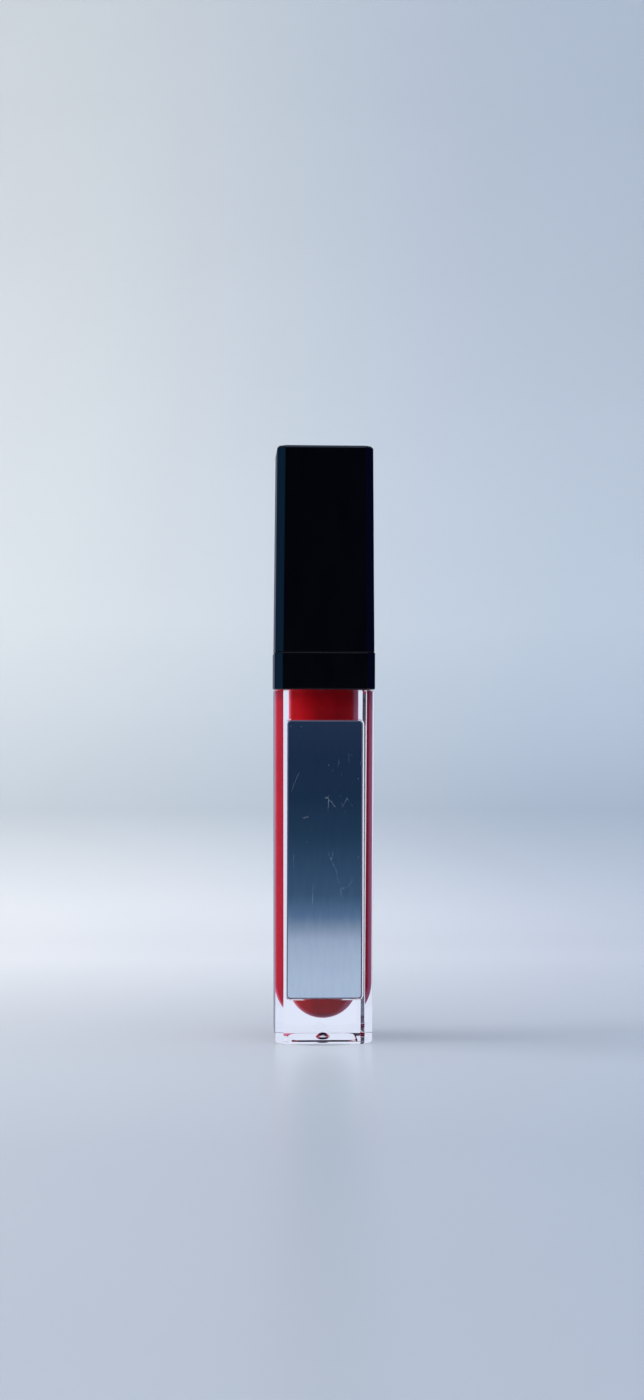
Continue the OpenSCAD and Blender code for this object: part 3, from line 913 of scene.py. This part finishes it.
def build_holder(material):
    """Cell holder: a square prism with cut corners, a stepped bore and a channel at +X."""
    low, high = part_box("battery_holder")
    step_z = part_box("led_board")[1].z
    channel_x, channel_y = 7.4 * MM, 1.3 * MM
    wide, narrow, edge = 6.82 * MM, 5.9 * MM, 0.2 * MM
    bm = bmesh.new()

    def ring(inset, z):
        half = high.x - inset
        outline = square_ring(half, inner_cut(MODULE_CUT, inset), 0.3 * MM)
        # the +X side is pushed in along the channel
        points = []
        for p, following in zip(outline, outline[1:] + outline[:1]):
            points.append(p)
            if min(p.x, following.x) > half - 1e-6 and p.y < 0 < following.y:
                points += [Vector((p.x, -channel_y)), Vector((channel_x, -channel_y)),
                           Vector((channel_x, channel_y)), Vector((p.x, channel_y))]
        return add_ring(bm, points, z)

    sides = [ring(edge, low.z), ring(0, low.z + edge), ring(0, high.z - edge), ring(edge, high.z)]
    skin_all(bm, sides)
    bores = round_rings(bm, [(wide, low.z), (wide, step_z), (narrow, step_z),
                             (narrow, high.z - 0.15 * MM), (narrow + 0.15 * MM, high.z)])
    skin_all(bm, bores)
    for outer, inner, up in ((sides[0], bores[0], -1), (sides[-1], bores[-1], 1)):
        edges = []
        for loop in (outer, inner):
            for pair in zip(loop, loop[1:] + loop[:1]):
                edges.append(bm.edges.get(pair) or bm.edges.new(pair))
        bmesh.ops.triangle_fill(bm, edges=edges, use_beauty=True, normal=(0, 0, up))
    return finish_mesh("cell_holder", bm, [material])


def build_cell(index, steel, gasket):
    """Button cell: a can with a rolled rim, a gasket line and a smaller raised pole."""
    low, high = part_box(f"battery_{index}")
    radius, foot, top = high.x, low.z, high.z
    dent = foot + 0.02 * MM
    can = round_corners([
        (0.5 * MM, dent), (radius - 1.6 * MM, dent), (radius - 1.3 * MM, foot),
        (radius - 0.4 * MM, foot), (radius, foot + 0.4 * MM), (radius, top - 0.6 * MM),
        (radius - 0.25 * MM, top - 0.35 * MM), (radius - 0.62 * MM, top - 0.37 * MM)],
        0.25 * MM, 3)
    seal = [(radius - 0.68 * MM, top - 0.42 * MM), (radius - 0.86 * MM, top - 0.42 * MM)]
    pole = round_corners([(radius - 0.9 * MM, top - 0.40 * MM), (radius - 1.1 * MM, top),
                          (0.5 * MM, top)], 0.15 * MM, 3)

    def on_gasket(middle):
        return (radius - 0.9 * MM < middle.xy.length < radius - 0.60 * MM
                and middle.z > top - 0.45 * MM)

    profile = [(0, dent)] + can + seal + pole + [(0, top)]
    return turned(f"button_cell_{index}", [steel, gasket], profile, on_gasket)


def build_spring(material):
    """Conical spring of smooth round wire, its end turns closed."""
    low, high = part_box("contact_spring")
    wire, turns, per_turn, sides = 0.3 * MM, 3, 36, 12
    wide, taper = 3.6, 1.2
    steps = turns * per_turn
    rise = (high.z - low.z - 2 * wire) / steps
    round_wire = [-2 * math.pi * k / sides for k in range(sides)]
    bm = bmesh.new()
    rings = []
    for i in range(steps + 1):
        t = 2 * math.pi * i / per_turn
        coil = (wide - taper * i / steps) * MM
        centre = Vector((coil * math.cos(t), coil * math.sin(t), low.z + wire + rise * i))
        out = Vector((math.cos(t), math.sin(t), 0))
        rings.append([bm.verts.new(centre + out * wire * math.cos(a)
                                   + Vector((0, 0, wire * math.sin(a)))) for a in round_wire])
    skin_all(bm, rings)
    bm.faces.new(rings[0])
    bm.faces.new(rings[-1][::-1])
    return finish_mesh("coil_spring", bm, [material], math.radians(60))


def build_switch(body, metal):
    """Tact switch: moulded body, pressed metal cover and the four rivets that hold it."""
    low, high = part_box("switch_body")
    half, well, step = high.x, 1.8 * MM, 0.12 * MM
    cover_z, well_floor = high.z - 0.25 * MM, high.z - 1.35 * MM
    ledge = cover_z - 0.3 * MM
    rivet_r, rivet_out = 0.45 * MM, 2.2 * MM
    bm = bmesh.new()
    rings = [add_ring(bm, square_ring(size, 0.25 * MM, 0.1 * MM), z) for size, z in
             ((half, low.z), (half, ledge), (half - step, ledge), (half - step, cover_z))]
    rings += round_rings(bm, [(well + 0.1 * MM, cover_z), (well, cover_z - 0.1 * MM),
                              (well, well_floor)])
    skin_all(bm, rings)
    close_fan(bm, rings[-1], well_floor)
    close_fan(bm, rings[0], low.z, outward_up=False)
    second_material(bm, lambda middle: (middle.z > cover_z - 0.25 * MM
                                        and middle.xy.length > well))
    for spot in [Vector((x, y)) for x in (-rivet_out, rivet_out) for y in (-rivet_out, rivet_out)]:
        stack = [add_ring(bm, [p + spot for p in round_ring(r)], z) for r, z in
                 ((rivet_r, cover_z - 0.05 * MM), (rivet_r, cover_z + 0.12 * MM),
                  (rivet_r * 0.7, high.z - 0.03 * MM))]
        skin_all(bm, stack)
        bm.faces.new(stack[0][::-1])
        bm.faces.new(stack[-1])
    return finish_mesh("tact_switch", bm, [body, metal])


def build_plunger(material):
    low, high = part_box("switch_plunger")
    radius, inner = high.x, 0.4 * MM
    outline = round_corners([(inner, low.z), (radius, low.z), (radius, high.z),
                             (inner, high.z)], 0.2 * MM, 4)
    return turned("switch_stem", [material], [(0, low.z)] + outline + [(0, high.z)])


def build_cover(material):
    """Cover of the light module, open below, with the plunger's hole in its roof."""
    low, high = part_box("module_cover")
    half, top, wall, lead = high.x, high.z, 0.8 * MM, 0.06 * MM
    bevel, hole, roof = 0.4 * MM, 2.05 * MM, high.z - 1.0 * MM
    fillet = 0.3 * MM
    bm = bmesh.new()
    outside = round_corners([
        (wall - 0.1 * MM, low.z), (lead, low.z), (0, low.z + lead), (0, top - bevel),
        (bevel, top), (bevel + 1 * MM, top)], 0.15 * MM, 3)
    rings = square_rings(bm, half, MODULE_CUT, fillet, outside)
    rings += round_rings(bm, [(hole + 0.35 * MM, top), (hole + 0.05 * MM, top - 0.15 * MM),
                              (hole, top - 0.35 * MM), (hole, roof)])
    rings += square_rings(bm, half, MODULE_CUT, fillet, [
        (wall + 0.3 * MM, roof), (wall, roof - 0.3 * MM), (wall, low.z + 0.1 * MM)])
    return tube("module_lid", material, bm, rings)


def dress_node(name, material, bevel=0.0):
    """Gives a CAD node that keeps its mesh a detailed material, and softens its edges."""
    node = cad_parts[name]
    for slot in node.material_slots:
        slot.material = material
    if bevel:
        soften = node.modifiers.new("edges", "BEVEL")
        soften.width = bevel
        soften.segments = 2
        soften.limit_method = "ANGLE"
        soften.angle_limit = math.radians(50)
        soften.harden_normals = True


# -------- camera, stage and light

def build_camera():
    """The camera stands a little to the left of the front, just above the tube's middle."""
    azimuth, aim, roll = (math.radians(angle) for angle in (-2.7, 0.0225, -0.16))
    distance, height = 0.400, 0.0684
    camera = new_object("camera", bpy.data.cameras.new("camera"))
    camera.location = (math.sin(azimuth) * distance, -math.cos(azimuth) * distance, height)
    camera.rotation_euler = (math.radians(90), roll, azimuth + aim)
    camera.data.sensor_width = 36
    camera.data.lens = 50.6
    camera.data.clip_start = 0.01
    camera.data.clip_end = 50
    bpy.context.scene.camera = camera


def stage_material(name, axis, *tones):
    """Matt paper with painted light and shade: toned along one axis and painted dimmer and cooler
    at the right, and seen only from its front.
    """
    material, tree = new_tree(name)
    metres = axes_of(tree)
    # painted light and shade: the tone changes along the axis as light would fall
    along = tone_along(tree, metres[axis], tones)
    # painted shade: dimmer and bluer toward the right, away from the window
    across = step_between(tree, metres["X"], -0.12, 0.14)
    painted_right_shade = mix_colours(tree, across, (1, 0.99, 0.95), (0.83, 0.88, 0.95))
    cloud = ramp(tree, noise(tree, in_mm(tree), 60, 2), (0.3, 0.985), (0.7, 1.0))
    tone = along
    for shade in (painted_right_shade, cloud):
        tone = add(tree, "VectorMath", tone, shade, operation="MULTIPLY").outputs[0]
    paper = add(tree, "BsdfPrincipled", base_color=tone, roughness=0.32)
    behind = add(tree, "NewGeometry").outputs["Backfacing"]
    return shown(material, mix_shaders(tree, behind, paper, add(tree, "BsdfTransparent")))


def hide_from(made, *rays):
    for kind in rays:
        setattr(made, "visible_" + kind, False)


def build_sheet(name, profile, half, material, *unseen_by):
    """A sheet stretched along X over a profile of (y, z), which some kinds of ray don't see."""
    bm = bmesh.new()
    left = [bm.verts.new((-half, y, z)) for y, z in profile]
    right = [bm.verts.new((half, y, z)) for y, z in profile]
    for i in range(len(profile) - 1):
        bm.faces.new((left[i], right[i], right[i + 1], left[i + 1]))
    mesh = bpy.data.meshes.new(name)
    bm.to_mesh(mesh)
    bm.free()
    mesh.shade_smooth()
    mesh.materials.append(material)
    sheet = new_object(name, mesh)
    hide_from(sheet, *unseen_by)


def build_stage():
    """A pale floor that curves up into a backdrop, both toned with painted light and shade.
    Reflections see the room instead.
    """
    half, foot, bend, top = 20.0, 0.18, 0.35, 2.0
    seam = foot - 0.02
    # painted light and shade: the floor is darker in front of the tube and brighter well behind it
    floor_paper = stage_material(
        "floor_paper", "Y", (-1.40, (0.86, 0.90, 0.93)), (-0.30, (0.56, 0.60, 0.67)),
        (-0.10, (0.60, 0.65, 0.72)), (-0.05, (0.66, 0.71, 0.77)), (0.02, (0.73, 0.775, 0.82)),
        (0.12, (0.88, 0.90, 0.93)), (0.16, (0.86, 0.88, 0.91)))
    # painted shade: a dark band low on the backdrop, above its foot
    wall_paper = stage_material(
        "wall_paper", "Z", (0.0, (0.86, 0.88, 0.91)), (0.008, (0.76, 0.79, 0.83)),
        (0.028, (0.58, 0.63, 0.68)), (0.10, (0.735, 0.775, 0.80)), (0.25, (0.75, 0.79, 0.82)))
    curve = [(foot + bend * sin, bend * (1 - cos)) for sin, cos in quarter_turn(12)[1:]]
    wall = [(seam, 0.0), (foot, 0.0)] + curve + [(foot + bend, top)]
    build_sheet("floor", [(-half, 0.0), (0.0, 0.0), (seam, 0.0)], half, floor_paper,
                "glossy", "transmission")
    build_sheet("backdrop", wall, half, wall_paper, "glossy", "transmission")


def build_painted_reflection_card():
    """A glowing card in front of the tube that only the mirror sees: a painted reflection of the
    unlit room.

    It fades into the floor's brightness at its foot. Rays that have come from nearer or from
    farther than the mirror pass it, so nothing else shows it.
    """
    # painted reflection: tones of the room, by height, that the mirror shows
    tones = ((-12, (0.473, 0.547, 0.663)), (-1, (0.473, 0.547, 0.663)),
             (5, (0.423, 0.494, 0.603)), (9, (0.371, 0.429, 0.548)),
             (12.5, (0.205, 0.270, 0.362)), (15, (0.098, 0.168, 0.275)),
             (20, (0.047, 0.093, 0.163)), (25, (0.036, 0.076, 0.137)),
             (34, (0.019, 0.046, 0.087)), (44, (0.0125, 0.030, 0.064)),
             (54, (0.0132, 0.028, 0.064)), (75, (0.027, 0.042, 0.076)))
    half, y, foot, top = 0.06, -0.10, -0.012, 0.066
    material, tree = new_tree("painted_reflection_card")
    height = add(tree, "SeparateXYZ", vector=in_mm(tree)).outputs["Z"]
    glow = add(tree, "Emission", color=tone_along(tree, height, tones), strength=1.04)
    reach = MIRROR_LOW.y - y
    length = add(tree, "LightPath").outputs["Ray Length"]
    near = step_between(tree, length, reach - 0.0015, reach - 0.0005)
    far = step_between(tree, length, reach + 0.006, reach + 0.007)
    back = add(tree, "NewGeometry").outputs["Backfacing"]
    seen = math_node(tree, "SUBTRACT", math_node(tree, "SUBTRACT", near, far), back, clamp=True)
    shown(material, mix_shaders(tree, seen, add(tree, "BsdfTransparent"), glow))
    build_sheet("painted_reflection_card", [(y, top), (y, foot)], half, material,
                "camera", "diffuse", "transmission", "shadow")


def build_world():
    """A soft room: bright overhead and at the left, dark in front of the tube.

    Diffuse rays are lit by one set of tones, reflections show a darker set, what is seen through
    the clear plastic a third, and the camera one plain tone beyond the stage.
    """
    world = bpy.data.worlds.new("room")
    bpy.context.scene.world = world
    world.use_nodes = True
    world.cycles.sampling_method = "NONE"
    tree = world.node_tree
    tree.nodes.clear()
    axes = axes_of(tree, "Generated")
    path = add(tree, "LightPath").outputs

    def step(axis, start, end):
        return step_between(tree, axes[axis], start, end)

    left, right = step("X", -0.55, -0.98), step("X", 0.80, 0.97)
    floor, below = step("Z", -0.22, -0.34), step("Z", -0.65, -0.85)
    overhead, aloft = step("Z", 0.05, 0.75), step("Z", 0.65, 0.95)
    behind = step("Y", 0.60, 0.95)
    tangled = step_between(tree, path["Glossy Depth"], 2.5, 3.5)

    lit = layers(tree, (0.20, 0.22, 0.26), (overhead, (1.00, 1.06, 1.14)),
                 (left, (1.20, 1.25, 1.35)))
    through = layers(tree, (0.76, 0.81, 0.96), (right, (0.27, 0.25, 0.36)),
                     (floor, (0.56, 0.61, 0.71)), (below, (0.070, 0.025, 0.110)),
                     (tangled, (0.23, 0.25, 0.33)))
    left_glow = mix_colours(tree, step("Z", -0.04, 0.16), (0.06, 0.30, 0.66),
                            (0.05, 0.26, 0.58))
    seen = layers(tree, (0.004, 0.006, 0.024), (right, (0.006, 0.014, 0.160)),
                  (left, left_glow), (aloft, (0.60, 0.75, 1.00)),
                  (behind, (0.30, 0.32, 0.42)), (floor, (0.42, 0.47, 0.56)))
    colour = layers(tree, lit, (path["Is Glossy Ray"], seen),
                    (path["Is Transmission Ray"], through),
                    (path["Is Camera Ray"], (0.43, 0.495, 0.585)))
    add(tree, "OutputWorld", add(tree, "Background", color=colour, strength=1.0).outputs[0])


def new_lamp(name, kind, place, **settings):
    """A lamp that reflections and the clear plastic don't show."""
    data = bpy.data.lights.new(name, kind)
    for key, value in settings.items():
        setattr(data, key, value)
    lamp = new_object(name, data)
    lamp.location = place
    hide_from(lamp, "glossy", "transmission")
    return lamp


def build_window():
    """A window at the left and a little behind, which lights the left edge of the gloss."""
    lamp = new_lamp("window", "AREA", (-0.55, 0.02, 0.20), shape="RECTANGLE", size=0.30,
                    size_y=0.50, energy=3.1, color=(1.0, 0.94, 0.95))
    lamp.rotation_mode = "QUATERNION"
    toward = Vector((0, 0, 0.05)) - lamp.location
    lamp.rotation_quaternion = toward.to_track_quat("-Z", "Y")


def build_patch():
    """A soft pool of light on the floor well behind the tube."""
    new_lamp("patch", "SPOT", (-0.05, 0.18, 1.0), energy=7.0, color=(1.0, 0.97, 0.93),
             spot_size=math.radians(19), spot_blend=1.0, shadow_soft_size=0.05)


scene = bpy.context.scene
scene.view_settings.view_transform = "Standard"
scene.cycles.max_bounces = 24
scene.cycles.glossy_bounces = 16
scene.cycles.transmission_bounces = 20
build_camera()
build_stage()
build_painted_reflection_card()
build_world()
build_window()
build_patch()

BLACK = satin_black()
CLEAR = clear_plastic("clear_bottle", (0.985, 0.988, 0.995))
STEEL = brushed_metal("cell_steel", (0.62, 0.61, 0.59), 0.24)
WHITE = moulded_plastic("white_plastic", (0.78, 0.78, 0.75), 0.42)
BOARD = circuit_board()

place(build_bottle(CLEAR), "bottle", "clear_bottle", "bottle")
place(build_gloss(red_gloss()), "bottle", "red_gloss", "gloss")
place(build_mirror(mirror_face(), mirror_edge()), "bottle", "mirror", "mirror_plate")
place(build_wiper(moulded_plastic("soft_white", (0.82, 0.81, 0.80), 0.38, 0.25)),
      "bottle", "soft_white", "wiper")
place(build_washer(foam("washer_foam", (0.80, 0.80, 0.78))), "seal", "foam", "seal_washer")
place(build_inner_cap(moulded_plastic("inner_black", (0.012, 0.013, 0.016), 0.42)),
      "cap_core", "inner_black", "inner_cap")
place(build_collar(BLACK), "cap_core", "cap_black", "collar")
place(build_stem(CLEAR, wet_stem()), "cap_core", "clear_stem", "wand_stem")
place(build_tip(flock()), "cap_core", "flock", "applicator_tip")
place(build_reflector(WHITE), "cap_core", "white_plastic", "reflector_cup")
place(build_lamp(lamp_lens()), "cap_core", "lamp", "led")
place(build_lamp_board(BOARD, brushed_metal("pad", (0.72, 0.55, 0.28), 0.3)),
      "cap_core", "circuit_board", "led_board")
place(build_holder(WHITE), "cap_core", "white_plastic", "battery_holder")
GASKET = moulded_plastic("gasket", (0.05, 0.10, 0.22), 0.4)
for index in (1, 2, 3):
    place(build_cell(index, STEEL, GASKET), "cap_core", "cell_steel", f"battery_{index}")
place(build_spring(brushed_metal("contact_nickel", (0.66, 0.65, 0.62), 0.22)),
      "cap_core", "contact_nickel", "contact_spring")
place(build_switch(moulded_plastic("switch_black", (0.02, 0.02, 0.022), 0.45), STEEL),
      "cap_core", "switch_black", "switch_body")
place(build_plunger(moulded_plastic("plunger_red", (0.50, 0.07, 0.035), 0.35)),
      "switch", "plunger_red", "switch_plunger")
place(build_cover(WHITE), "cap_core", "white_plastic", "module_cover")
place(build_shell(BLACK), "shell", "cap_black", "cap_shell")
place(build_button(BLACK), "button", "cap_black", "push_button")

dress_node("mirror_adhesive", foam("adhesive", (0.72, 0.73, 0.75)))
dress_node("top_contact", brushed_metal("leaf_nickel", (0.66, 0.65, 0.62), 0.26), 0.06 * MM)
dress_node("side_contact", brushed_metal("contact_brass", (0.70, 0.52, 0.24), 0.28), 0.06 * MM)
dress_node("switch_board", BOARD, 0.08 * MM)
